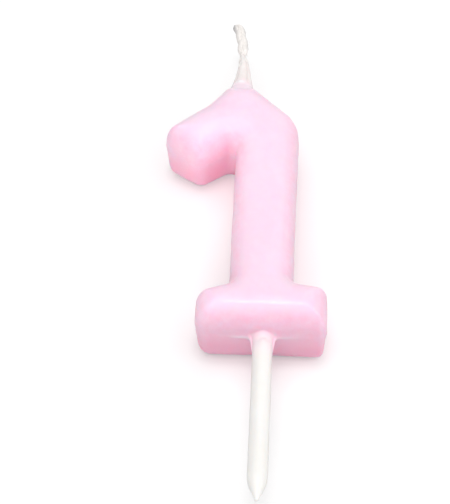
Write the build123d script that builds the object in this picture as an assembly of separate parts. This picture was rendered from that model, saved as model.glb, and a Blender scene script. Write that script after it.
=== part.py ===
from build123d import *
import os

# Number birthday candle: a moulded wax "1" on a plastic pick, lying on its back.
#
# Millimetres. +Y points from the foot of the numeral towards the wick, +X to the numeral's right,
# +Z out of its front face. The plane Z = 0 is the parting plane of the two-part mould, and the
# origin lies on the pick's axis, where the pick leaves the wax. The sizes below are measured
# from the end face of the foot, and everything is moved up by the collar's length at the end.

# --- the numeral's outline in the parting plane: x, y and corner radius of each corner
FOOT_LEFT_X = -10.1
FOOT_RIGHT_X = 9.5
STEM_LEFT_X = -5.3
STEM_RIGHT_X = 4.4
APEX_Y = 47.5

NUMERAL_OUTLINE = [
    (FOOT_LEFT_X, 0.0, 2.5),            # foot, lower left
    (FOOT_RIGHT_X, 0.0, 1.3),           # foot, lower right
    (FOOT_RIGHT_X - 0.2, 7.7, 1.3),     # foot, upper right
    (STEM_RIGHT_X - 0.2, 8.7, 0.9),     # foot meets stem, right
    (STEM_RIGHT_X, 40.5, 6.0),          # right shoulder
    (-2.6, APEX_Y, 2.0),                # blunt apex, right
    (-7.0, APEX_Y, 2.0),                # blunt apex, left
    (-10.3, 43.3, 4.0),                 # hollow of the upper edge
    (-17.5, 37.3, 2.2),                 # tip of the flag
    (-10.6, 32.6, 2.4),                 # heel of the flag
    (STEM_LEFT_X + 0.1, 36.5, 0.9),     # flag meets stem
    (STEM_LEFT_X, 8.2, 0.9),            # foot meets stem, left
    (FOOT_LEFT_X - 0.1, 6.5, 2.0),      # foot, upper left
]

# --- the numeral's thickness, front half and back half, each drafted to leave its mould
FRONT_DEPTH = 5.0
FRONT_DRAFT = 5.0                       # degrees
FRONT_ROUND = 3.4
BACK_DEPTH = 6.4
BACK_DRAFT = 6.0                        # degrees
BACK_ROUND = 2.0

# --- the pick: a round plastic rod along Y, pointed below and barbed where the wax grips it
PICK_RADIUS = 1.5
PICK_SHANK_END_Y = -25.5
PICK_POINT_Y = -29.5
PICK_POINT_RADIUS = 0.35
PICK_TOP_Y = 16.0
NECK_RADIUS = 1.2                       # the part inside the wax, below and between the barbs
NECK_START_LENGTH = 0.3                 # the step from the shank to the neck
BARB_COUNT = 3
BARB_FIRST_Y = 4.0
BARB_PITCH = 3.6
BARB_LENGTH = 2.6
BARB_OUTER_RADIUS = 1.75

# --- the rim of wax that climbs the pick at the foot
COLLAR_BASE_RADIUS = 2.5
COLLAR_TIP_RADIUS = 1.65
COLLAR_LENGTH = 1.2
COLLAR_ROOT_Y = 0.6                     # how far the collar's cone starts inside the foot

# --- the wick: a round cord, from its free end down into the stem, and its bends' radii
WICK_RADIUS = 0.8
WICK_ROUTE = [
    (-5.6, 62.9, 0.5),
    (-4.9, 59.6, 0.2),
    (-4.7, 52.0, 0.0),
    (-4.4, 43.0, 0.0),
    (-1.8, 32.0, 0.0),
    (-0.6, 18.5, 0.0),
]
WICK_BEND_RADII = [20.0, 80.0, 30.0, 40.0]

# --- the pale wax that the wick's root stands in
ROOT_WAX_BASE_RADIUS = 2.4
ROOT_WAX_WAIST_RADIUS = 1.27
ROOT_WAX_TIP_RADIUS = 1.05
ROOT_WAX_BASE_Y = 45.0
ROOT_WAX_WAIST_Y = 52.1
ROOT_WAX_TIP_Y = 55.0


def numeral_face():
    """The outline of the numeral as a flat face in the parting plane."""
    corners = [(x, y) for x, y, _ in NUMERAL_OUTLINE]
    radii = [radius for _, _, radius in NUMERAL_OUTLINE]
    return make_face(FilletPolyline(*corners, radius=radii, close=True).edges())


def half_shell(face, depth, draft, rounding, direction):
    """One mould half of the numeral: the face drawn out along direction, with a rounded rim."""
    half = extrude(face, amount=depth, dir=direction, taper=draft)
    outer_face = half.faces().sort_by(Axis(origin=(0, 0, 0), direction=direction))[-1]
    return fillet(outer_face.edges(), rounding)


def solid_numeral():
    """Both halves of the numeral as one body, without the hollows for the pick and the wick."""
    face = numeral_face()
    front = half_shell(face, FRONT_DEPTH, FRONT_DRAFT, FRONT_ROUND, (0, 0, 1))
    back = half_shell(face, BACK_DEPTH, BACK_DRAFT, BACK_ROUND, (0, 0, -1))
    return front + back


def turned_about_y(profile_points):
    """A solid of revolution about the Y axis; each point is (radius, y)."""
    profile = make_face(Polyline(*profile_points, close=True).edges())
    return revolve(profile, axis=Axis.Y)


def pick_collar():
    """The low cone of wax where the pick leaves the foot."""
    return turned_about_y([
        (0, COLLAR_ROOT_Y),
        (COLLAR_BASE_RADIUS, COLLAR_ROOT_Y),
        (COLLAR_BASE_RADIUS, 0),
        (COLLAR_TIP_RADIUS, -COLLAR_LENGTH),
        (0, -COLLAR_LENGTH),
    ])


def make_pick():
    """The pick: point, shank, barbs that hold it in the wax, and a bevelled upper end."""
    profile = [
        (0, PICK_POINT_Y),
        (PICK_POINT_RADIUS, PICK_POINT_Y),
        (PICK_RADIUS, PICK_SHANK_END_Y),
        (PICK_RADIUS, -COLLAR_LENGTH),
        (NECK_RADIUS, NECK_START_LENGTH - COLLAR_LENGTH),
    ]
    for index in range(BARB_COUNT):
        barb_y = BARB_FIRST_Y + index * BARB_PITCH
        profile.append((NECK_RADIUS, barb_y))
        profile.append((BARB_OUTER_RADIUS, barb_y))
        profile.append((NECK_RADIUS, barb_y + BARB_LENGTH))
    profile.append((NECK_RADIUS, PICK_TOP_Y - NECK_RADIUS / 2))
    profile.append((NECK_RADIUS / 2, PICK_TOP_Y))
    profile.append((0, PICK_TOP_Y))
    return turned_about_y(profile)


def make_wick():
    """The wick as a round cord swept along straight runs joined by tangent arcs."""
    route = FilletPolyline(*WICK_ROUTE, radius=WICK_BEND_RADII)
    section = Plane(origin=route @ 0, z_dir=route % 0) * Circle(WICK_RADIUS)
    return sweep(section, path=route)


def make_wick_root_wax(numeral, wick):
    """The pale cone of wax on the apex, trimmed by the numeral below it and bored by the wick."""
    lower = Cone(
        ROOT_WAX_BASE_RADIUS,
        ROOT_WAX_WAIST_RADIUS,
        ROOT_WAX_WAIST_Y - ROOT_WAX_BASE_Y,
        align=(Align.CENTER, Align.CENTER, Align.MIN),
    )
    upper = Cone(
        ROOT_WAX_WAIST_RADIUS,
        ROOT_WAX_TIP_RADIUS,
        ROOT_WAX_TIP_Y - ROOT_WAX_WAIST_Y,
        align=(Align.CENTER, Align.CENTER, Align.MIN),
    )
    cone = lower + Pos(0, 0, ROOT_WAX_WAIST_Y - ROOT_WAX_BASE_Y) * upper
    root_x = WICK_ROUTE[2][0]
    placed = Pos(root_x, ROOT_WAX_BASE_Y, 0) * Rot(-90, 0, 0) * cone
    return placed - numeral - wick


def write_step(part, node):
    """Moves one node to the origin at the collar's tip and writes it as a single closed solid."""
    solids = part.solids()
    if len(solids) != 1:
        raise ValueError(f"{node} came out as {len(solids)} solids")
    placed = Pos(0, COLLAR_LENGTH, 0) * solids[0]
    export_step(placed, os.path.join("parts", node + ".step"))


def main():
    os.makedirs("parts", exist_ok=True)
    numeral = solid_numeral()
    pick = make_pick()
    wick = make_wick()
    write_step(numeral + pick_collar() - pick - wick, "wax_numeral")
    write_step(pick, "pick")
    write_step(wick, "wick")
    write_step(make_wick_root_wax(numeral, wick), "wick_root_wax")


main()
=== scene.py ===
import math

import bmesh
import bpy
import numpy as np
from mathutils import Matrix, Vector


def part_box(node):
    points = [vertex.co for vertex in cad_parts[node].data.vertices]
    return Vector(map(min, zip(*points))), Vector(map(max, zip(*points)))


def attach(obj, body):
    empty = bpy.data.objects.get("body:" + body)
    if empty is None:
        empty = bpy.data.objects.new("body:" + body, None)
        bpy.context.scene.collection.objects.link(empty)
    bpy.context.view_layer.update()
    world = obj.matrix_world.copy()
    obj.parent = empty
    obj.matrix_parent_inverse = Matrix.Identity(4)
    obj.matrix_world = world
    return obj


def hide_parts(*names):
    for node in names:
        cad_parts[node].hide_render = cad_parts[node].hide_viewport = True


# Number birthday candle: the looks of the wax numeral, its wick, the wax round the wick's root
# and the pick. Lengths in this script are millimetres in the part's frame, and MM turns them
# into Blender's metres where a mesh, a material, a light or the camera is made.
MM = 0.001

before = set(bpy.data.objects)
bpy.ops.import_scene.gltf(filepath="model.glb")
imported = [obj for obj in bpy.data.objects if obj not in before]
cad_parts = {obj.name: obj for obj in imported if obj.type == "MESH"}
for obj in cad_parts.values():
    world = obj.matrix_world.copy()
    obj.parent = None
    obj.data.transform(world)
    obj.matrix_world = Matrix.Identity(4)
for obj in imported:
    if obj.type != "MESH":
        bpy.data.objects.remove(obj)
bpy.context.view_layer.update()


def node_box_mm(node):
    """Lowest and highest corner of a CAD node, in millimetres."""
    low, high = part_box(node)
    return np.array(low) / MM, np.array(high) / MM


WAX_LOW, WAX_HIGH = node_box_mm("wax_numeral")
PICK_LOW, PICK_HIGH = node_box_mm("pick")

# --- the camera and the point that it looks at
CAMERA_TARGET = (-6.17, 17.36, 0)
CAMERA_TILT = 40                        # degrees from overhead
CAMERA_AZIMUTH = 177.83                 # degrees from +Y towards +X
CAMERA_DISTANCE = 487
CAMERA_NEAREST = 10                     # nothing nearer than this is seen
CAMERA_LENS = 231.8
CAMERA_SENSOR = 36

# --- the floor and the lights
FLOOR_Z = WAX_LOW[2]
FLOOR_SIDE = 460
FLOOR_GREY = 0.72
FLOOR_GLOW = 0.25                       # what the floor shines by for the camera alone
WORLD_LIGHT = 0.53
WORLD_SEEN = 1.2                        # how bright the camera sees the world
SOFTBOXES = [                           # name, tilt, azimuth, distance, side and watts
    ("ceiling", 0, 0, 900, 1200, 5.0),
    ("softbox", 2, 0, 900, 200, 0.8),
    ("front_fill", 60, 183, 1000, 400, 1.35),
    ("right_fill", 60, 90, 1000, 400, 1.4),
]
NOTCH = (-6.4, 36.8, -2.2)              # the corner between the flag and the stem
NOTCH_TILT = 72
NOTCH_AZIMUTH = 200
NOTCH_DISTANCE = 300
NOTCH_BEAM = 2.0                        # degrees across
NOTCH_LAMP_RADIUS = 10
NOTCH_WATTS = 5.4

# --- the wax numeral
FOOT_Y = 1.2                            # the end face of the foot
FRONT_DEPTH = WAX_HIGH[2]
FRONT_INSET = 0.33                      # how far the wall is drawn in where the front is deepest
FRONT_ROUND = 3.7
BACK_DEPTH = -WAX_LOW[2]
BACK_INSET = 0.62                       # and where the back is deepest
BACK_ROUND = 2.1
CUT_Z = -2.6                            # a level of the back half that only the outline's wall crosses
CAD_BACK_DRAFT = math.radians(6.0)
CUT_INSET = -CUT_Z * math.tan(CAD_BACK_DRAFT)
MARGIN_PITCH = 0.1                      # the grid on which the distance from the outline is kept
MARGIN_AROUND = 2                       # how far that grid reaches past the outline
MOULD_STEP = 0.04                       # the back half stands back from the front half by this
STEP_WIDTH = 0.25
WAX_VOXEL = 0.178                       # the spacing of the skin's vertices
PROBE = 0.02                            # the step by which a distance's slope is measured
LEAST_STEEPNESS = 0.25                  # keeps moves short where a distance is nearly level
SWELLS = [                              # height, wavelength and seed of the skin's gentle swells
    (0.035, 9.0, 1),
    (0.014, 2.6, 2),
]
RIM_START_Z = 1.2                       # the skin is smoothed more from here outwards
RIM_FULL_Z = 2.8
WALL_NORMAL_Z = (0.9, 0.6)              # how steeply the skin faces up or down, off and on the walls
ENCLOSURE_REACHES = (1.0, 2.5, 5.0)     # how far ahead of the skin other wax is looked for
# Painted shade on the numeral: a deeper pink where wax and floor stand close, and on the walls.
SHADE_ENCLOSED = 0.32                    # how much painted shade deepens the pink where other wax is close,
SHADE_WALL = 0.12                        # on the walls,
SHADE_BACK = 0.68                        # and on the walls towards the back, on top of that,
SHADE_BACK_DEPTH = (-1.4, 3.6)           # starting and full at these depths behind the parting plane

# --- the parting line's ridge and the flash, the thin wax squeezed out of it beside the pick
RIDGE_HEIGHT = 0.0102
RIDGE_WIDTH = 0.20
FLASH_HEIGHT = 0.153
FLASH_WIDTH = 0.32
FLASH_FULL_X = 3.0                      # full this far from the pick's axis
FLASH_END_X = 6.0                       # and gone this far from it
FLASH_LENGTH = 2.0                      # how far up the foot it fades out
FLASH_UNEVENNESS = 0.2
FLASH_WAVELENGTH = 3.0
FLASH_RIGHT_LOSS = 0.45                 # the part of it that is missing on the pick's right
FLASH_RIGHT_X = 2.5                     # from here on
FLASH_THINNESS = 0.8                    # how much less milky it is than the numeral, of 1

# --- the film of wax round the pick and the web along both of its sides
FILM_LENGTH = 2.4
FILM_THICKNESS = 0.09
FILM_TAPER = 1.3                        # above 1, so that it thins to nothing before its end
FILM_SIDES = 40
SLEEVE_ROOT = 2.0                       # how far film and web start inside the foot
WEB_LENGTH = 3.6
WEB_WIDTH = 0.42
WEB_TAPER = 1.2
WEB_THICKNESS = 0.24                    # to either side of the parting plane
WEB_THINNING = 0.6
WEB_SEEN_Z = (0.7, 0.4)                 # off and on the web, this far from the parting plane
WEB_FILLET = 0.2                        # how softly film and web join
SIDE_FILLET = 0.9                       # how softly the foot and they join in the parting plane
TOP_FILLET = 0.16                       # and above and below it

# --- the pick
PICK_RADIUS = 1.5
PICK_SIDES = 64
BLUNT_RADIUS = 0.38
BLUNT_RINGS = 7
POINT_LENGTH = 4.0
POINT_BULGE = 1.25
POINT_RINGS = 25
SHANK_RINGS = 120
LEAST_RADIUS = 0.02                     # keeps the ring at the tip open
NECK_RADIUS = 1.2
NECK_START_Y = 0.3
BARB_RADIUS = 1.75
BARB_COUNT = 3
BARB_FIRST_Y = 5.2
BARB_PITCH = 3.6
BARB_LENGTH = 2.6
SKIN_HEIGHT = 0.012                     # the unevenness of the drawn rod
SKIN_WAVELENGTH = 1.4
SKIN_SQUEEZE = 0.12                     # its pattern is drawn out along the rod by 1 over this

# --- the wick: its middle line from the free end down, its three strands and their fibres
WICK_ROUTE = [
    (-5.95, 64.1, 0.4),
    (-5.2, 61.9, 0.3),
    (-4.9, 59.6, 0.1),
    (-4.75, 56.5, 0.0),
    (-4.6, 53.2, 0.0),
    (-4.4, 44.2, 0.0),
    (-1.8, 33.2, 0.0),
    (-0.6, 19.7, 0.0),
]
WICK_SPACING = 0.12
STRAND_COUNT = 3
STRAND_RADIUS = 0.43
STRAND_SIDES = 24
STRAND_SWELL = 0.05                     # how much a strand's thickness varies
STRAND_WAVELENGTH = 2.0
STRAND_TIP = 0.55                       # the part of its radius that a strand has at its cut end
STRAND_TIP_LENGTH = 0.5
PLAIT_PERIOD = 6.6
PLAIT_WIDTH = 0.43
PLAIT_DEPTH = 0.15
PLY_COUNT = 5
PLY_SPACING = 1.6                       # from one ply's crown to the next along a strand
PLY_GROOVE = 0.91                       # the part of its radius that it has in the plies' grooves
PLY_CROWN = 0.10                        # and how much more of it on their crowns
PINCH_Y = 57.7                          # where the wax draws the strands together
PINCH_LENGTH = 0.75
PINCH_GATHER = 0.75                     # the part of the plait's spread that the pinch takes away
PINCH_SQUEEZE = 0.35                    # and the part of the strands' radius
FIBRES_PER_STRAND = 23
FIBRE_RADIUS = 0.022
FIBRE_TIP = 0.5                         # the part of its radius that a fibre has at its tip
FIBRE_SIDES = 5
FIBRE_POINTS = 7
FIBRE_ROOT = 0.8                        # it starts this part of the strand's radius from its middle
FIBRE_STATIONS = (4, 60)                # fibres leave a strand between these points of its line
FIBRE_LENGTHS = (0.5, 1.3)
FIBRE_CURLS = (0.15, 0.55)              # how far its tip stands off the strand
FIBRE_BEND = 1.6
WICK_SHADE_LEFT = (0.15, 0.75)                # painted grey shade starts and is full this far left of the middle line,
WICK_SHADE_LEFT_PART = 0.25                   # but only this grey, of 1, below the free end,
WICK_SHADE_END_Y = (61.5, 63.8)               # which starts and is full here
WICK_SHADE_RIGHT = (0.35, 0.85)               # and the same for the right,
WICK_SHADE_RIGHT_PART = 0.45                  # which is this grey all along

# --- the wax round the wick's root: height, half its width and its middle's x, up to the pinch
ROOT_PROFILE = [
    (46.8, 3.0, -4.78),
    (48.4, 2.8, -4.78),
    (49.4, 2.3, -4.78),
    (50.3, 1.85, -4.76),
    (51.4, 1.58, -4.74),
    (53.3, 1.2, -4.63),
    (54.4, 1.02, -4.62),
    (55.9, 0.8, -4.64),
    (57.0, 0.56, -4.78),
    (58.0, 0.38, -4.88),
]
ROOT_SIDES = 96
ROOT_RINGS = 110
ROOT_FLATNESS = 0.92                    # its depth as a part of its width
ROOT_GROOVES = (-0.72, 0.52)            # where its two grooves run, as parts of the half width
ROOT_GROOVE_WIDTH = 0.15
ROOT_GROOVE_DEPTH = 0.08
ROOT_GROOVE_START_Y = (50.6, 52.2)      # they deepen between these heights
ROOT_GROOVE_FRONT = (0, 0.3)            # and run on its front only, from these parts of its depth on
ROOT_FOLD = (-0.12, 51.0)               # a fold low on its front: part of the half width, height
ROOT_FOLD_WIDTH = 0.34
ROOT_FOLD_LENGTH = 0.42
ROOT_FOLD_HEIGHT = 0.07
ROOT_SWELL = 0.02
ROOT_SWELL_WAVELENGTH = 1.5
ROOT_SWELL_SQUEEZE = 0.5                # the swells are drawn out along it by 1 over this
ROOT_BASE_Y = (52.4, 49.6)              # the numeral's pink shows more and more down this stretch


def smooth_step(none_at, full_at, value):
    """0 where value is at none_at or beyond, 1 at full_at or beyond, and smooth between."""
    t = np.clip((value - none_at) / (full_at - none_at), 0, 1)
    return t * t * (3 - 2 * t)


def hump(value, width):
    """1 where value is 0, falling off smoothly within about width on both sides."""
    return np.exp(-(value / width) ** 2)


def waves(points, wavelength, seed, count=14):
    """A smooth random field, mostly between -1 and 1: plane waves in random directions, added up."""
    draw = np.random.default_rng(seed)
    directions = draw.normal(size=(count, 3))
    directions /= np.linalg.norm(directions, axis=1)[:, None]
    stretch = draw.uniform(0.7, 1.5, count)
    phases = draw.uniform(0, 2 * math.pi, count)
    turns = points @ directions.T * (2 * math.pi / wavelength) * stretch + phases
    return np.sin(turns).sum(axis=1) / math.sqrt(count)


# ------------------------------------------------------------------ mesh helpers


def new_object(name, data):
    made = bpy.data.objects.new(name, data)
    bpy.context.scene.collection.objects.link(made)
    return made


def mesh_from_mm(name, points, faces):
    """A smooth-shaded mesh object from points in millimetres."""
    mesh = bpy.data.meshes.new(name)
    mesh.from_pydata([tuple(p) for p in np.asarray(points) * MM], [], faces)
    mesh.validate()
    mesh.shade_smooth()
    return new_object(name, mesh)


def points_mm(mesh):
    flat = np.empty(len(mesh.vertices) * 3)
    mesh.vertices.foreach_get("co", flat)
    return flat.reshape(-1, 3) / MM


def set_points_mm(mesh, points):
    mesh.vertices.foreach_set("co", (points * MM).ravel())
    mesh.update()


def edges_of(mesh):
    flat = np.empty(len(mesh.edges) * 2, dtype=np.int64)
    mesh.edges.foreach_get("vertices", flat)
    return flat.reshape(-1, 2)


def vertex_normals(mesh):
    flat = np.empty(len(mesh.vertices) * 3)
    mesh.vertex_normals.foreach_get("vector", flat)
    return flat.reshape(-1, 3)


def set_attribute(mesh, name, values):
    """Keeps one number for each vertex, for the material to read."""
    attribute = mesh.attributes.new(name, "FLOAT", "POINT")
    attribute.data.foreach_set("value", np.asarray(values, dtype=np.float32))


def neighbour_mean(points, edges):
    """The mean of each vertex's neighbours."""
    count = len(points)
    ends = np.concatenate([edges[:, 0], edges[:, 1]])
    others = np.concatenate([edges[:, 1], edges[:, 0]])
    degree = np.maximum(np.bincount(ends, minlength=count), 1)
    sums = [np.bincount(ends, weights=points[others, axis], minlength=count) for axis in range(3)]
    return np.stack(sums, axis=1) / degree[:, None]


def relax(points, edges, strength, rounds):
    """Laplacian smoothing; strength is one number or one for each vertex."""
    strength = np.broadcast_to(strength, len(points))[:, None]
    for _ in range(rounds):
        points = points + strength * (neighbour_mean(points, edges) - points)
    return points


def tube_faces(rings, around, first=0):
    """Quads between rings of vertices, and one polygon that closes each end."""
    faces = []
    for ring in range(rings - 1):
        start = first + ring * around
        for k in range(around):
            following = (k + 1) % around
            faces.append((start + k, start + following, start + around + following, start + around + k))
    faces.append(tuple(first + k for k in reversed(range(around))))
    last = first + (rings - 1) * around
    faces.append(tuple(last + k for k in range(around)))
    return faces


def turned_over(faces):
    """The same faces, looking the other way."""
    return [tuple(reversed(face)) for face in faces]


# ------------------------------------------------------------------ the numeral's outline


def wall_outline():
    """The numeral's outline at CUT_Z as an array of (x, y) in order, read from the CAD node."""
    cut = bmesh.new()
    cut.from_mesh(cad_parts["wax_numeral"].data)
    bmesh.ops.remove_doubles(cut, verts=cut.verts, dist=1e-7)
    geometry = list(cut.verts) + list(cut.edges) + list(cut.faces)
    level = (0, 0, CUT_Z * MM)
    made = bmesh.ops.bisect_plane(cut, geom=geometry, plane_co=level, plane_no=(0, 0, 1), dist=1e-9)
    beside = {}
    for edge in made["geom_cut"]:
        if isinstance(edge, bmesh.types.BMEdge):
            start, end = edge.verts
            beside.setdefault(start, []).append(end)
            beside.setdefault(end, []).append(start)
    first = next(iter(beside))
    loop = [first]
    before, here = None, first
    while True:
        following = next(v for v in beside[here] if v is not before)
        if following is first:
            break
        loop.append(following)
        before, here = here, following
    outline = np.array([(v.co.x / MM, v.co.y / MM) for v in loop])
    cut.free()
    return outline


OUTLINE = wall_outline()


def exact_margin(xy):
    """How far places (x, y) lie inside the outline in the parting plane; negative outside."""
    start = OUTLINE
    end = np.roll(OUTLINE, -1, axis=0)
    step = end - start
    place = xy[:, None, :]
    along = np.clip(((place - start) * step).sum(axis=2) / (step ** 2).sum(axis=1), 0, 1)
    distance = np.linalg.norm(place - start - along[:, :, None] * step, axis=2).min(axis=1)
    straddles = (place[:, :, 1] >= start[:, 1]) != (place[:, :, 1] >= end[:, 1])
    rise = np.where(step[:, 1] == 0, 1, step[:, 1])
    crossing = start[:, 0] + (place[:, :, 1] - start[:, 1]) / rise * step[:, 0]
    inside = (straddles & (place[:, :, 0] < crossing)).sum(axis=1) % 2 == 1
    return np.where(inside, distance, -distance) + CUT_INSET


def margin_grid():
    """The grid's corner, and exact_margin at its points as rows of equal y."""
    corner = OUTLINE.min(axis=0) - MARGIN_AROUND
    size = OUTLINE.max(axis=0) + MARGIN_AROUND - corner
    columns, rows = np.ceil(size / MARGIN_PITCH).astype(int)
    x = corner[0] + MARGIN_PITCH * np.arange(columns)
    y = corner[1] + MARGIN_PITCH * np.arange(rows)
    grid = [exact_margin(np.column_stack([x, np.full(columns, height)])) for height in y]
    return corner, np.array(grid)


MARGIN_CORNER, MARGIN_GRID = margin_grid()


def margin(points):
    """exact_margin read from the grid, for points in millimetres."""
    place = (points[:, :2] - MARGIN_CORNER) / MARGIN_PITCH
    rows, columns = MARGIN_GRID.shape
    column = np.clip(place[:, 0].astype(int), 0, columns - 2)
    row = np.clip(place[:, 1].astype(int), 0, rows - 2)
    right = np.clip(place[:, 0] - column, 0, 1)
    up = np.clip(place[:, 1] - row, 0, 1)
    lower = MARGIN_GRID[row, column] * (1 - right) + MARGIN_GRID[row, column + 1] * right
    upper = MARGIN_GRID[row + 1, column] * (1 - right) + MARGIN_GRID[row + 1, column + 1] * right
    return lower * (1 - up) + upper * up


# ------------------------------------------------------------------ the wax numeral's surface


def flash(points):
    """Where thin wax was squeezed out of the mould's parting line beside the pick, up to about 1."""
    x, y, z = points.T
    beside_pick = smooth_step(FLASH_END_X, FLASH_FULL_X, np.abs(x))
    beside_pick = beside_pick * smooth_step(FOOT_Y + FLASH_LENGTH, FOOT_Y, y)
    in_parting_plane = points * (1, 1, 0)
    uneven = 1 - FLASH_UNEVENNESS * (1 - waves(in_parting_plane, FLASH_WAVELENGTH, seed=6))
    uneven = uneven * (1 - FLASH_RIGHT_LOSS * smooth_step(0, FLASH_RIGHT_X, x))
    return beside_pick * uneven * hump(z, FLASH_WIDTH)


def ridge(points):
    """How far the parting line stands out: faint all round and stronger beside the pick."""
    return RIDGE_HEIGHT * hump(points[:, 2], RIDGE_WIDTH) + FLASH_HEIGHT * flash(points)


def numeral_distance(points):
    """Signed distance from the bare numeral: drafted walls, rounded rims, a step between halves."""
    z = points[:, 2]
    front = z >= 0
    depth = np.where(front, FRONT_DEPTH, BACK_DEPTH)
    rounding = np.where(front, FRONT_ROUND, BACK_ROUND)
    inset = np.where(front, FRONT_INSET, BACK_INSET) * np.abs(z) / depth
    inset = inset + MOULD_STEP * smooth_step(0, STEP_WIDTH, -z)
    inset = inset - ridge(points)
    sideways = rounding - (margin(points) - inset)
    outwards = rounding - (depth - np.abs(z))
    corner = np.hypot(np.maximum(sideways, 0), np.maximum(outwards, 0))
    return corner + np.minimum(np.maximum(sideways, outwards), 0) - rounding


def film_distance(points):
    """Signed distance from the tapering sleeve of wax round the pick."""
    x, y, z = points.T
    below = FOOT_Y - y
    radius = PICK_RADIUS + FILM_THICKNESS * (1 - FILM_TAPER * np.maximum(below, 0) / FILM_LENGTH)
    tube = np.hypot(x, z) - radius
    return np.maximum(tube, np.maximum(below - FILM_LENGTH, -below - SLEEVE_ROOT))


def web_distance(points):
    """Signed distance from the thin web that the mould's parting line left beside the pick."""
    x, y, z = points.T
    below = FOOT_Y - y
    part = np.maximum(below, 0) / WEB_LENGTH
    reach = PICK_RADIUS + WEB_WIDTH * (1 - WEB_TAPER * part)
    thickness = WEB_THICKNESS * (1 - WEB_THINNING * part)
    across = np.maximum(np.abs(x) - reach, np.abs(z) - thickness)
    return np.maximum(across, np.maximum(below - WEB_LENGTH, -below - SLEEVE_ROOT))


def joined(first, second, reach):
    """Two signed distances softly joined, with a fillet that starts where they differ by reach."""
    overlap = np.maximum(reach - np.abs(first - second), 0) / reach
    return np.minimum(first, second) - overlap ** 2 * reach / 4


def wax_distance(points):
    """Signed distance from the numeral with the film and the web that climb the pick."""
    x, _, z = points.T
    sideways = np.abs(x) / np.maximum(np.hypot(x, z), 1e-6)
    fillet = TOP_FILLET + (SIDE_FILLET - TOP_FILLET) * sideways ** 4
    climbing = joined(film_distance(points), web_distance(points), WEB_FILLET)
    return joined(numeral_distance(points), climbing, fillet)


def enclosure(points, normals):
    """How much wax and floor stand close in front of each point, from 0 to 1."""
    total = 0
    for reach in ENCLOSURE_REACHES:
        ahead = points + normals * reach
        room = np.minimum(wax_distance(ahead), ahead[:, 2] - FLOOR_Z)
        total = total + np.clip(1 - room / reach, 0, 1)
    return total / len(ENCLOSURE_REACHES)


def project(points, distance, rounds):
    """Moves points onto the surface where distance is zero."""
    for _ in range(rounds):
        value = distance(points)
        slopes = [(distance(points + PROBE * axis) - value) / PROBE for axis in np.eye(3)]
        gradient = np.stack(slopes, axis=1)
        steepness = np.maximum((gradient ** 2).sum(axis=1), LEAST_STEEPNESS)
        points = points - gradient * (value / steepness)[:, None]
    return points


def numeral_block():
    """The outline drawn out to the numeral's depth, with a rod for the film and a bar for the web."""
    count = len(OUTLINE)
    back = np.column_stack([OUTLINE, np.full(count, -BACK_DEPTH)])
    front = np.column_stack([OUTLINE, np.full(count, FRONT_DEPTH)])
    points = list(np.concatenate([back, front]))
    faces = tube_faces(2, count)

    def add_bar(section, tip_y):
        """A straight bar from inside the foot down to tip_y; section lists its corners (x, z)."""
        faces.extend(tube_faces(2, len(section), first=len(points)))
        for y in (FOOT_Y + SLEEVE_ROOT, tip_y):
            points.extend((x, y, z) for x, z in section)

    radius = PICK_RADIUS + FILM_THICKNESS
    angles = [2 * math.pi * k / FILM_SIDES for k in range(FILM_SIDES)]
    circle = [(radius * math.cos(angle), radius * math.sin(angle)) for angle in angles]
    add_bar(circle, FOOT_Y - FILM_LENGTH)
    side, top = PICK_RADIUS + WEB_WIDTH, WEB_THICKNESS
    add_bar([(side, -top), (side, top), (-side, top), (-side, -top)], FOOT_Y - WEB_LENGTH)
    return mesh_from_mm("wax_numeral_block", points, faces)


def remeshed(block, voxel):
    """One closed skin over the block, as a mesh; the block goes."""
    modifier = block.modifiers.new("Remesh", "REMESH")
    modifier.mode = "VOXEL"
    modifier.voxel_size = voxel * MM
    modifier.use_smooth_shade = True
    evaluated = block.evaluated_get(bpy.context.evaluated_depsgraph_get())
    mesh = bpy.data.meshes.new_from_object(evaluated)
    bpy.data.objects.remove(block)
    return mesh


def settled(points, edges):
    """The skin's points evened out on the wax's surface, most where the rims are rounded."""
    points = relax(points, edges, strength=0.5, rounds=6)
    points = project(points, wax_distance, rounds=3)
    points = relax(points, edges, strength=0.4, rounds=3)
    points = project(points, wax_distance, rounds=2)
    on_rim = smooth_step(RIM_START_Z, RIM_FULL_Z, np.abs(points[:, 2]))
    on_rim = on_rim * smooth_step(FOOT_Y - 0.6, FOOT_Y, points[:, 1])
    return relax(points, edges, strength=0.5 * on_rim, rounds=14)


def mark_wax(mesh, points, normals):
    """Tells the material where shade is painted as a deeper pink, and where the wax is a wall, flash
    (painted pale as a highlight), thin, or film on the pick.
    """
    x, y, z = points.T
    from_axis = np.hypot(x, z)
    on_wall = smooth_step(*WALL_NORMAL_Z, np.abs(normals[:, 2]))
    towards_back = smooth_step(*SHADE_BACK_DEPTH, -z)
    # painted shade: deeper where wax and floor stand close ahead, on the walls, and most on the back
    # half's walls
    painted_shade_amount = SHADE_ENCLOSED * enclosure(points, normals)
    painted_shade_amount = painted_shade_amount + (SHADE_WALL + SHADE_BACK * towards_back) * on_wall
    squeezed_out = flash(points) * smooth_step(PICK_RADIUS - 0.05, PICK_RADIUS + 0.2, from_axis)
    below_foot = smooth_step(FOOT_Y + 0.1, FOOT_Y - 0.3, y)
    beside_pick = smooth_step(PICK_RADIUS - 0.15, PICK_RADIUS + 0.1, np.abs(x))
    on_web = beside_pick * smooth_step(*WEB_SEEN_Z, np.abs(z))
    on_pick = smooth_step(PICK_RADIUS + 0.8, PICK_RADIUS + 0.4, from_axis) * (1 - on_web)
    set_attribute(mesh, "painted_shade", np.clip(painted_shade_amount, 0, 1))
    set_attribute(mesh, "wall", on_wall)
    set_attribute(mesh, "flash", squeezed_out)
    set_attribute(mesh, "thin", np.maximum(below_foot, FLASH_THINNESS * squeezed_out))
    set_attribute(mesh, "film", on_pick * smooth_step(FOOT_Y + 0.3, FOOT_Y - 0.15, y))


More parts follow.
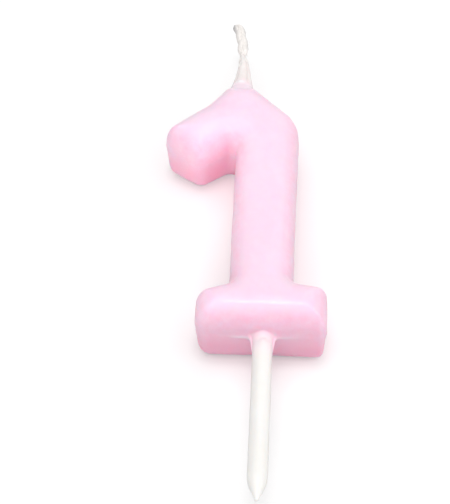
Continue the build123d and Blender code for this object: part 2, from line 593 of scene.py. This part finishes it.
def make_numeral():
    """The wax body: one fine skin over numeral, film and web, with the gentle swells of cast wax."""
    mesh = remeshed(numeral_block(), WAX_VOXEL)
    mesh.name = "wax_numeral_body"
    points = settled(points_mm(mesh), edges_of(mesh))
    set_points_mm(mesh, points)
    normals = vertex_normals(mesh)
    swell = sum(height * waves(points, wavelength, seed) for height, wavelength, seed in SWELLS)
    set_points_mm(mesh, points + normals * swell[:, None])
    mark_wax(mesh, points, normals)
    mesh.shade_smooth()
    return new_object("wax_numeral_body", mesh)


# ------------------------------------------------------------------ materials


NOISE_LOW = 0.3                         # a noise's values lie mostly between these two
NOISE_HIGH = 0.7


class Shader:
    """A material with one Principled BSDF and short ways to add nodes to it."""

    def __init__(self, name):
        self.material = bpy.data.materials.new(name)
        self.material.use_nodes = True
        self.tree = self.material.node_tree
        self.surface = self.tree.nodes["Principled BSDF"]

    def node(self, kind, **settings):
        made = self.tree.nodes.new(kind)
        for key, value in settings.items():
            setattr(made, key, value)
        return made

    def link(self, start, end):
        self.tree.links.new(start, end)

    def attribute(self, name):
        """The number that set_attribute kept at each vertex."""
        return self.node("ShaderNodeAttribute", attribute_name=name).outputs["Fac"]

    def place(self):
        """The point's place in the part's frame, in millimetres."""
        coordinates = self.node("ShaderNodeTexCoord")
        scaled = self.node("ShaderNodeVectorMath", operation="SCALE")
        scaled.inputs["Scale"].default_value = 1 / MM
        self.link(coordinates.outputs["Object"], scaled.inputs[0])
        return scaled.outputs[0]

    def noise(self, place, size, detail=3.0, roughness=0.55):
        """Noise from 0 to 1 whose features are about size millimetres."""
        made = self.node("ShaderNodeTexNoise")
        made.inputs["Scale"].default_value = 1 / size
        made.inputs["Detail"].default_value = detail
        made.inputs["Roughness"].default_value = roughness
        self.link(place, made.inputs["Vector"])
        return made.outputs["Fac"]

    def ramp(self, value, stops):
        """A colour for each value; stops are (position, colour)."""
        made = self.node("ShaderNodeValToRGB")
        elements = made.color_ramp.elements
        while len(elements) < len(stops):
            elements.new(0.5)
        for element, (position, colour) in zip(elements, stops):
            element.position = position
            element.color = (*colour, 1)
        self.link(value, made.inputs["Fac"])
        return made.outputs["Color"]

    def spread(self, value, low, high):
        """From low to high as the value goes from NOISE_LOW to NOISE_HIGH, and no further beyond."""
        made = self.node("ShaderNodeMapRange")
        made.inputs["From Min"].default_value = NOISE_LOW
        made.inputs["From Max"].default_value = NOISE_HIGH
        made.inputs["To Min"].default_value = low
        made.inputs["To Max"].default_value = high
        self.link(value, made.inputs["Value"])
        return made.outputs["Result"]

    def mix(self, factor, first, second):
        """From the first colour at factor 0 to the second at 1; each is a tuple or a socket."""
        made = self.node("ShaderNodeMix", data_type="RGBA")
        self.link(factor, made.inputs["Factor"])
        for value, socket in ((first, made.inputs["A"]), (second, made.inputs["B"])):
            if isinstance(value, tuple):
                socket.default_value = (*value, 1)
            else:
                self.link(value, socket)
        return made.outputs["Result"]

    def bump(self, height, distance, under=None):
        """A bump of distance millimetres, over another one."""
        made = self.node("ShaderNodeBump")
        made.inputs["Distance"].default_value = distance * MM
        self.link(height, made.inputs["Height"])
        if under is not None:
            self.link(under, made.inputs["Normal"])
        return made.outputs["Normal"]

    def set(self, **values):
        """Gives the surface's inputs their values, or links them."""
        for key, value in values.items():
            socket = self.surface.inputs[key.replace("_", " ")]
            if isinstance(value, bpy.types.NodeSocket):
                self.link(value, socket)
            else:
                socket.default_value = value


WAX_IOR = 1.44
PLASTIC_IOR = 1.49

PINK = (0.99, 0.68, 0.815)
PALE_PINK = (0.992, 0.695, 0.825)
DULL_PINK = (0.988, 0.665, 0.805)
# painted highlight: the pale pink of the flash's ridge where it catches the light
FLASH_HIGHLIGHT_PINK = (1.0, 0.82, 0.90)
# a deeper pink, painted as shade and also used for the walls' mottle
SHADE_AND_MOTTLE_PINK = (0.998, 0.465, 0.61)

PALE_WAX = (0.90, 0.85, 0.835)
DULL_WAX = (0.86, 0.79, 0.775)
# painted shade in the root wax's grooves
GROOVE_SHADE_WAX = (0.80, 0.735, 0.72)
# painted highlight on the fold at the root wax's base
FOLD_HIGHLIGHT_WAX = (0.99, 0.93, 0.98)
BASE_WAX = (1.0, 0.77, 0.87)            # where the numeral's pink shines through

PALE_COTTON = (0.92, 0.89, 0.86)
DULL_COTTON = (0.76, 0.72, 0.69)
# painted shade on the plait's sides
SHADE_GREY_COTTON = (0.42, 0.42, 0.42)

WHITE = (1, 1, 1)
PLASTIC_CLOUD = (0.97, 0.965, 0.955)    # what the plastic's colour is multiplied by in faint clouds
PLASTIC_MARK_SQUEEZE = 0.06             # its marks are drawn out along the rod by 1 over this

# Down the pick from the foot: pink through the film of wax, then a painted pink glow of the wax's light
# picked up by the plastic, then the plastic's own creamy white.
TINT_LENGTH = 5.0
FILM_AND_GLOW_STOPS = [
    (0.0, (0.93, 0.66, 0.76)),
    (0.2, (0.92, 0.75, 0.80)),
    (0.4, (0.91, 0.81, 0.835)),
    (0.7, (0.89, 0.84, 0.84)),
    (1.0, (0.87, 0.86, 0.84)),
]


def pick_film_and_glow_tint(shader, place):
    """The colour down the pick's length, for the film and the pick alike: the film's pink, then a
    painted pink glow fading into the plastic's white.
    """
    parts = shader.node("ShaderNodeSeparateXYZ")
    shader.link(place, parts.inputs[0])
    below = shader.node("ShaderNodeMapRange")
    below.inputs["From Min"].default_value = FOOT_Y
    below.inputs["From Max"].default_value = FOOT_Y - TINT_LENGTH
    shader.link(parts.outputs["Y"], below.inputs["Value"])
    return shader.ramp(below.outputs["Result"], FILM_AND_GLOW_STOPS)


def pink_wax_colour(shader, place):
    """Cloudy pink, deepened by painted shade in enclosed places and on the walls, mottled on the walls,
    with a pale painted highlight on the flash, and thin on the pick.
    """
    cloud = shader.noise(place, size=3.2, detail=2.0)
    colour = shader.ramp(cloud, [(NOISE_LOW, DULL_PINK), (0.5, PINK), (0.72, PALE_PINK)])
    # painted shade: deeper pink where wax and floor enclose the skin and on the walls
    colour = shader.mix(shader.attribute("painted_shade"), colour, SHADE_AND_MOTTLE_PINK)
    mottle = shader.noise(place, size=1.1, roughness=0.7)
    mottled = shader.mix(shader.spread(mottle, low=0.0, high=0.36), colour, SHADE_AND_MOTTLE_PINK)
    colour = shader.mix(shader.attribute("wall"), colour, mottled)
    # painted highlight on the flash's ridge
    colour = shader.mix(shader.attribute("flash"), colour, FLASH_HIGHLIGHT_PINK)
    return shader.mix(shader.attribute("film"), colour, pick_film_and_glow_tint(shader, place))


def pink_wax():
    """Glossy on the face, matte on the walls, and milky except where it is thin."""
    shader = Shader("pink_wax")
    place = shader.place()
    wall = shader.attribute("wall")
    grain = shader.noise(place, size=0.5, detail=4.0, roughness=0.65)
    dents = shader.bump(shader.noise(place, size=1.3, detail=2.0), distance=0.045)
    shader.set(
        Base_Color=pink_wax_colour(shader, place),
        Roughness=shader.spread(grain, low=0.28, high=0.38),
        Normal=shader.bump(grain, distance=0.010, under=dents),
        IOR=WAX_IOR,
        Specular_IOR_Level=shader.spread(wall, low=0.18, high=0.1),
        Subsurface_Weight=shader.spread(shader.attribute("thin"), low=1.0, high=0.12),
        Subsurface_Radius=(1.0, 0.4, 0.5),
        Subsurface_Scale=2.8 * MM,
        Coat_Weight=shader.spread(wall, low=0.5, high=0.04),
        Coat_Roughness=0.06,
    )
    return shader.material


def clear_wax():
    """Uncoloured wax with painted shade in the grooves and a painted highlight on the fold, above a pink
    base.
    """
    shader = Shader("clear_wax")
    place = shader.place()
    cloud = shader.noise(place, size=0.8)
    colour = shader.ramp(cloud, [(NOISE_LOW, DULL_WAX), (NOISE_HIGH, PALE_WAX)])
    # painted shade in the grooves
    colour = shader.mix(shader.attribute("groove"), colour, GROOVE_SHADE_WAX)
    # painted highlight on the fold
    colour = shader.mix(shader.attribute("fold"), colour, FOLD_HIGHLIGHT_WAX)
    colour = shader.mix(shader.attribute("base"), colour, BASE_WAX)
    shader.set(
        Base_Color=colour,
        Roughness=0.25,
        Normal=shader.bump(shader.noise(place, size=0.4), distance=0.012),
        IOR=WAX_IOR,
        Subsurface_Weight=0.5,
        Subsurface_Radius=(1.0, 0.8, 0.8),
        Subsurface_Scale=1.0 * MM,
        Coat_Weight=0.4,
        Coat_Roughness=0.12,
    )
    return shader.material


def cotton():
    """Soft matte thread, with painted grey shade along the plait's sides."""
    shader = Shader("cotton")
    fibre = shader.noise(shader.place(), size=0.12, detail=4.0)
    colour = shader.ramp(fibre, [(NOISE_LOW, DULL_COTTON), (NOISE_HIGH, PALE_COTTON)])
    shader.set(
        # painted shade: greyer along the plait's sides
        Base_Color=shader.mix(shader.attribute("grey"), colour, SHADE_GREY_COTTON),
        Roughness=0.8,
        Normal=shader.bump(fibre, distance=0.02),
        Sheen_Weight=0.3,
        Sheen_Roughness=0.5,
    )
    return shader.material


def white_plastic():
    """Creamy white plastic with faint marks drawn out along the rod."""
    shader = Shader("white_plastic")
    place = shader.place()
    stretched = shader.node("ShaderNodeMapping")
    stretched.inputs["Scale"].default_value = (1, PLASTIC_MARK_SQUEEZE, 1)
    shader.link(place, stretched.inputs["Vector"])
    drawn = shader.noise(stretched.outputs["Vector"], size=0.35)
    cloud = shader.noise(place, size=4.0)
    clouded = shader.ramp(cloud, [(NOISE_LOW, PLASTIC_CLOUD), (NOISE_HIGH, WHITE)])
    colour = shader.node("ShaderNodeMix", data_type="RGBA", blend_type="MULTIPLY")
    colour.inputs["Factor"].default_value = 1.0
    # near the foot the pick gets a painted pink glow from the wax
    shader.link(pick_film_and_glow_tint(shader, place), colour.inputs["A"])
    shader.link(clouded, colour.inputs["B"])
    shader.set(
        Base_Color=colour.outputs["Result"],
        Roughness=shader.spread(drawn, low=0.34, high=0.48),
        Normal=shader.bump(drawn, distance=0.012),
        IOR=PLASTIC_IOR,
        Subsurface_Weight=0.6,
        Subsurface_Radius=(1.0, 0.9, 0.8),
        Subsurface_Scale=0.8 * MM,
    )
    return shader.material


# ------------------------------------------------------------------ the pick


def pick_profile():
    """(radius, y) from the blunt point up the shank, and on along the barbed neck in the wax."""
    tip_y, top_y = PICK_LOW[1], PICK_HIGH[1]
    cone_y, shank_y = tip_y + BLUNT_RADIUS, tip_y + POINT_LENGTH
    profile = []
    for angle in np.linspace(0, math.pi / 2, BLUNT_RINGS):
        profile.append((BLUNT_RADIUS * math.sin(angle), cone_y - BLUNT_RADIUS * math.cos(angle)))
    for part in np.linspace(0, 1, POINT_RINGS)[1:]:
        bulge = math.sin(part * math.pi / 2) ** POINT_BULGE
        radius = BLUNT_RADIUS + (PICK_RADIUS - BLUNT_RADIUS) * bulge
        profile.append((radius, cone_y + (shank_y - cone_y) * part))
    profile += [(PICK_RADIUS, y) for y in np.linspace(shank_y, 0, SHANK_RINGS)[1:]]
    profile.append((NECK_RADIUS, NECK_START_Y))
    for index in range(BARB_COUNT):
        barb_y = BARB_FIRST_Y + BARB_PITCH * index
        profile += [(NECK_RADIUS, barb_y), (BARB_RADIUS, barb_y), (NECK_RADIUS, barb_y + BARB_LENGTH)]
    profile += [(NECK_RADIUS, top_y - NECK_RADIUS / 2), (NECK_RADIUS / 2, top_y)]
    return profile


def make_pick():
    """A turned rod with a slightly uneven skin, a blunt point and the barbed neck in the wax."""
    profile = pick_profile()
    radius, y = np.repeat(profile, PICK_SIDES, axis=0).T
    radius = np.maximum(radius, LEAST_RADIUS)
    angle = np.tile(2 * math.pi * np.arange(PICK_SIDES) / PICK_SIDES, len(profile))
    outward = np.column_stack([np.cos(angle), np.zeros(len(angle)), np.sin(angle)])
    points = radius[:, None] * outward + y[:, None] * (0, 1, 0)
    skin = SKIN_HEIGHT * waves(points * (1, SKIN_SQUEEZE, 1), SKIN_WAVELENGTH, seed=8)
    points = points + outward * skin[:, None]
    return mesh_from_mm("pick_rod", points, turned_over(tube_faces(len(profile), PICK_SIDES)))


# ------------------------------------------------------------------ the wick


def route_points(route, spacing):
    """Points evenly spaced along a smooth curve with the route as its control points."""
    curve = bpy.data.curves.new("route", "CURVE")
    curve.dimensions = "3D"
    spline = curve.splines.new("NURBS")
    spline.points.add(len(route) - 1)
    for point, place in zip(spline.points, route):
        point.co = (*place, 1)
    spline.order_u = 3
    spline.use_endpoint_u = True
    curve.resolution_u = 60
    holder = new_object("route", curve)
    evaluated = holder.evaluated_get(bpy.context.evaluated_depsgraph_get())
    line = np.array([v.co for v in bpy.data.meshes.new_from_object(evaluated).vertices])
    bpy.data.objects.remove(holder)
    lengths = np.concatenate([[0], np.cumsum(np.linalg.norm(np.diff(line, axis=0), axis=1))])
    stations = np.arange(0, lengths[-1], spacing)
    return np.stack([np.interp(stations, lengths, line[:, axis]) for axis in range(3)], axis=1), stations


def sides_along(line):
    """Sideways and upward unit vectors along a line that runs roughly along Y."""
    tangent = np.gradient(line, axis=0)
    tangent /= np.linalg.norm(tangent, axis=1)[:, None]
    upward = np.array([0, 0, 1.0]) - tangent[:, 2:3] * tangent
    upward /= np.linalg.norm(upward, axis=1)[:, None]
    return np.cross(upward, tangent), upward


def pinch(y):
    """1 where the strands are drawn together, falling to 0 on both sides."""
    return hump(y - PINCH_Y, PINCH_LENGTH)


def strand_line(centre, stations, index):
    """The middle of one strand of a three-strand plait."""
    sideways, upward = sides_along(centre)
    phase = 2 * math.pi * (stations / PLAIT_PERIOD + index / STRAND_COUNT)
    spread = 1 - PINCH_GATHER * pinch(centre[:, 1])
    across = PLAIT_WIDTH * spread * np.sin(phase)
    over = PLAIT_DEPTH * spread * np.sin(2 * phase)
    return centre + across[:, None] * sideways + over[:, None] * upward


def strand_radius(line, stations, index):
    """A strand's radius: slightly uneven, less in the pinch and drawn in at the cut end."""
    radius = STRAND_RADIUS * (1 + STRAND_SWELL * waves(line, STRAND_WAVELENGTH, seed=20 + index))
    radius = radius * (1 - PINCH_SQUEEZE * pinch(line[:, 1]))
    return radius * (STRAND_TIP + (1 - STRAND_TIP) * smooth_step(0, STRAND_TIP_LENGTH, stations))


def yarn_tube(line, stations, radius, around):
    """Points and faces of a tube with the grooves of its twisted plies."""
    sideways, upward = sides_along(line)
    points = []
    for ring in range(len(line)):
        twist = 2 * math.pi * stations[ring] / (PLY_SPACING * PLY_COUNT)
        for k in range(around):
            angle = 2 * math.pi * k / around
            crown = abs(math.cos(PLY_COUNT / 2 * (angle + twist)))
            reach = radius[ring] * (PLY_GROOVE + PLY_CROWN * crown)
            points.append(
                line[ring]
                + reach * math.cos(angle) * sideways[ring]
                + reach * math.sin(angle) * upward[ring]
            )
    return points, tube_faces(len(line), around)


def fibre_points(draw, line):
    """A hair that leaves a strand: a few points on a curved path, from the strand outwards."""
    sideways, upward = sides_along(line)
    start = draw.integers(*FIBRE_STATIONS)
    angle = draw.uniform(0, 2 * math.pi)
    outward = math.cos(angle) * sideways[start] + math.sin(angle) * upward[start]
    along = (line[start - 3] - line[start]) * draw.choice([-1, 1])
    along = along / np.linalg.norm(along)
    length = draw.uniform(*FIBRE_LENGTHS)
    curl = draw.uniform(*FIBRE_CURLS)
    steps = np.linspace(0, 1, FIBRE_POINTS)[:, None]
    base = line[start] + outward * STRAND_RADIUS * FIBRE_ROOT
    return base + along * length * steps + outward * curl * steps ** FIBRE_BEND


def mark_side_shade(mesh, centre):
    """Tells the cotton where shade is painted: along the plait's sides, above the wax that grips it."""
    x, y, _ = points_mm(mesh).T
    middle = np.interp(-y, -centre[:, 1], centre[:, 0])
    left = smooth_step(*WICK_SHADE_LEFT, middle - x)
    left = left * (WICK_SHADE_LEFT_PART + (1 - WICK_SHADE_LEFT_PART) * smooth_step(*WICK_SHADE_END_Y, y))
    right = WICK_SHADE_RIGHT_PART * smooth_step(*WICK_SHADE_RIGHT, x - middle)
    above_pinch = smooth_step(PINCH_Y + 0.6, PINCH_Y + 1.6, y)
    set_attribute(mesh, "grey", above_pinch * np.maximum(left, right))


def make_wick():
    """Three twisted strands plaited together, with loose fibres on the free length."""
    centre, stations = route_points(WICK_ROUTE, WICK_SPACING)
    draw = np.random.default_rng(31)
    points, faces = [], []

    def add(new_points, new_faces):
        faces.extend(tuple(i + len(points) for i in face) for face in new_faces)
        points.extend(new_points)

    for index in range(STRAND_COUNT):
        line = strand_line(centre, stations, index)
        add(*yarn_tube(line, stations, strand_radius(line, stations, index), STRAND_SIDES))
        for _ in range(FIBRES_PER_STRAND):
            hair = fibre_points(draw, line)
            thickness = FIBRE_RADIUS * np.linspace(1, FIBRE_TIP, len(hair))
            add(*yarn_tube(hair, np.zeros(len(hair)), thickness, FIBRE_SIDES))
    wick = mesh_from_mm("wick_plait", points, faces)
    mark_side_shade(wick.data, centre)
    return wick


# ------------------------------------------------------------------ the wax round the wick's root


def eased(values, y):
    """The values listed at ROOT_PROFILE's heights, joined by a smooth line and read at each y."""
    heights = [height for height, _, _ in ROOT_PROFILE]
    fine = np.linspace(heights[0] - 1, heights[-1] + 1, 120)
    kernel = hump(np.linspace(-2, 2, 9), 1)
    line = np.pad(np.interp(fine, heights, values), len(kernel) // 2, mode="edge")
    return np.interp(y, fine, np.convolve(line, kernel / kernel.sum(), mode="valid"))


def make_root_wax():
    """A pale cone with hollow sides and two grooves that grips the wick where it leaves the apex."""
    y = np.repeat(np.linspace(ROOT_PROFILE[0][0], ROOT_PROFILE[-1][0], ROOT_RINGS), ROOT_SIDES)
    angle = np.tile(2 * math.pi * np.arange(ROOT_SIDES) / ROOT_SIDES, ROOT_RINGS)
    side, up = np.cos(angle), np.sin(angle)
    groove = sum(hump(side - place, ROOT_GROOVE_WIDTH) for place in ROOT_GROOVES)
    groove = groove * smooth_step(*ROOT_GROOVE_FRONT, up) * smooth_step(*ROOT_GROOVE_START_Y, y)
    fold_side, fold_y = ROOT_FOLD
    fold = hump(side - fold_side, ROOT_FOLD_WIDTH) * hump(y - fold_y, ROOT_FOLD_LENGTH) * (up > 0)
    radius = eased([half_width for _, half_width, _ in ROOT_PROFILE], y)
    radius = radius * (1 - ROOT_GROOVE_DEPTH * groove + ROOT_FOLD_HEIGHT * fold)
    swollen = np.column_stack([side, y * ROOT_SWELL_SQUEEZE, up])
    swell = waves(swollen, ROOT_SWELL_WAVELENGTH, seed=9)
    radius = radius * (1 + ROOT_SWELL * swell)
    middle = eased([middle_x for _, _, middle_x in ROOT_PROFILE], y)
    points = np.column_stack([middle + radius * side, y, ROOT_FLATNESS * radius * up])
    cone = mesh_from_mm("wick_root_cone", points, turned_over(tube_faces(ROOT_RINGS, ROOT_SIDES)))
    # the grooves and the fold also tell the material where shade and a highlight are painted
    set_attribute(cone.data, "groove", np.clip(groove, 0, 1))
    set_attribute(cone.data, "fold", fold)
    set_attribute(cone.data, "base", smooth_step(*ROOT_BASE_Y, y) * (1 - fold))
    return cone


# ------------------------------------------------------------------ stage, light and camera


def make_floor():
    """A white floor under the candle, which shines a little for the camera alone."""
    mesh = bpy.data.meshes.new("floor")
    half = FLOOR_SIDE / 2 * MM
    corners = [(-half, -half), (half, -half), (half, half), (-half, half)]
    mesh.from_pydata([(x, y, FLOOR_Z * MM) for x, y in corners], [], [(0, 1, 2, 3)])
    floor = new_object("floor", mesh)
    shader = Shader("floor_white")
    paths = shader.node("ShaderNodeLightPath")
    glow = shader.node("ShaderNodeMath", operation="MULTIPLY")
    shader.link(paths.outputs["Is Camera Ray"], glow.inputs[0])
    glow.inputs[1].default_value = FLOOR_GLOW
    shader.set(
        Base_Color=(FLOOR_GREY, FLOOR_GREY, FLOOR_GREY, 1),
        Roughness=0.9,
        Specular_IOR_Level=0.2,
        Emission_Color=(1, 1, 1, 1),
        Emission_Strength=glow.outputs[0],
    )
    mesh.materials.append(shader.material)


def aim(thing, target, tilt, azimuth, distance):
    """Puts a light or camera at that distance from its target and turns it to look there.

    It stands tilt degrees from overhead, towards azimuth, in degrees from +Y towards +X.
    """
    tilt, azimuth = math.radians(tilt), math.radians(azimuth)
    back = Vector((
        math.sin(tilt) * math.sin(azimuth),
        math.sin(tilt) * math.cos(azimuth),
        math.cos(tilt),
    ))
    thing.location = (Vector(target) + back * distance) * MM
    thing.rotation_euler = back.to_track_quat("Z", "Y").to_euler()


def make_softbox(name, tilt, azimuth, distance, side, watts):
    """A square light aimed at the candle."""
    light = bpy.data.lights.new(name, "AREA")
    light.shape = "SQUARE"
    light.size = side * MM
    light.energy = watts
    aim(new_object(name, light), CAMERA_TARGET, tilt, azimuth, distance)


def make_notch_light():
    """A narrow soft beam from the front left, as a white card would throw under the flag."""
    light = bpy.data.lights.new("notch_light", "SPOT")
    light.energy = NOTCH_WATTS
    light.spot_size = math.radians(NOTCH_BEAM)
    light.spot_blend = 1.0
    light.shadow_soft_size = NOTCH_LAMP_RADIUS * MM
    aim(new_object("notch_light", light), NOTCH, NOTCH_TILT, NOTCH_AZIMUTH, NOTCH_DISTANCE)


def make_world():
    """Even white light from all round, brighter where the camera sees it directly."""
    world = bpy.data.worlds.new("studio")
    bpy.context.scene.world = world
    world.use_nodes = True
    tree = world.node_tree
    light = tree.nodes["Background"]
    seen = tree.nodes.new("ShaderNodeBackground")
    for background, strength in ((light, WORLD_LIGHT), (seen, WORLD_SEEN)):
        background.inputs["Color"].default_value = (1, 1, 1, 1)
        background.inputs["Strength"].default_value = strength
    paths = tree.nodes.new("ShaderNodeLightPath")
    mix = tree.nodes.new("ShaderNodeMixShader")
    tree.links.new(paths.outputs["Is Camera Ray"], mix.inputs[0])
    tree.links.new(light.outputs[0], mix.inputs[1])
    tree.links.new(seen.outputs[0], mix.inputs[2])
    tree.links.new(mix.outputs[0], tree.nodes["World Output"].inputs["Surface"])


def make_camera():
    data = bpy.data.cameras.new("camera")
    data.lens = CAMERA_LENS
    data.sensor_width = CAMERA_SENSOR
    data.clip_start = CAMERA_NEAREST * MM
    camera = new_object("camera", data)
    aim(camera, CAMERA_TARGET, CAMERA_TILT, CAMERA_AZIMUTH, CAMERA_DISTANCE)
    bpy.context.scene.camera = camera


def finish_piece(piece, material, node):
    piece.data.materials.clear()
    piece.data.materials.append(material)
    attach(piece, "root")
    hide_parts(node)


def main():
    make_camera()
    make_world()
    make_floor()
    for settings in SOFTBOXES:
        make_softbox(*settings)
    make_notch_light()
    bpy.context.scene.view_settings.view_transform = "Standard"
    finish_piece(make_numeral(), pink_wax(), "wax_numeral")
    finish_piece(make_root_wax(), clear_wax(), "wick_root_wax")
    finish_piece(make_wick(), cotton(), "wick")
    finish_piece(make_pick(), white_plastic(), "pick")


main()
